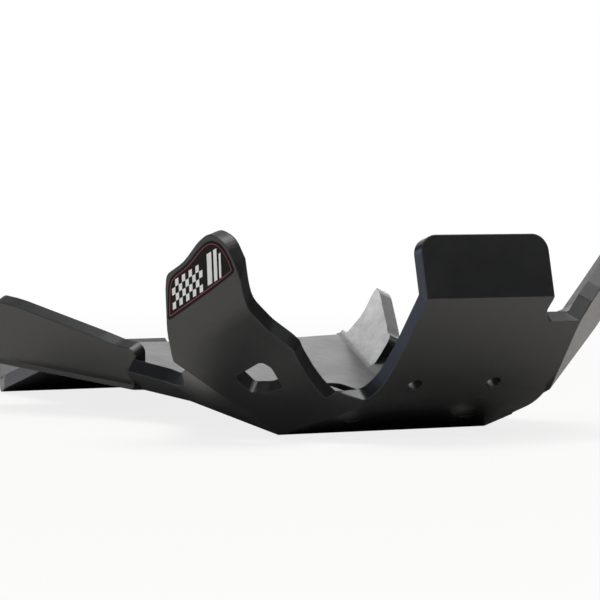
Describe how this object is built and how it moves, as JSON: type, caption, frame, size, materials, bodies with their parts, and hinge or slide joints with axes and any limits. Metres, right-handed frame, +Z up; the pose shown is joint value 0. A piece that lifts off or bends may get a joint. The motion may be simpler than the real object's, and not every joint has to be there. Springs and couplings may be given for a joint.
{
  "type": "motorcycle skid plate",
  "caption": "Black sheet plastic skid plate folded up round the lower engine, with a front tab, side bows, rear wings and a rear linkage guard.",
  "frame": {"origin": "on the floor, below the middle of the plate's length and on the bottom plate's centre line", "axes": "+X forward to the nose and its top tab, +Y to the rider's left, +Z up"},
  "size_m": [0.513, 0.2669, 0.1093],
  "materials": {
    "black_sheet": "satin"
  },
  "bodies": {
    "root": {"skid_plate": "black_sheet"}
  },
  "joints": []
}
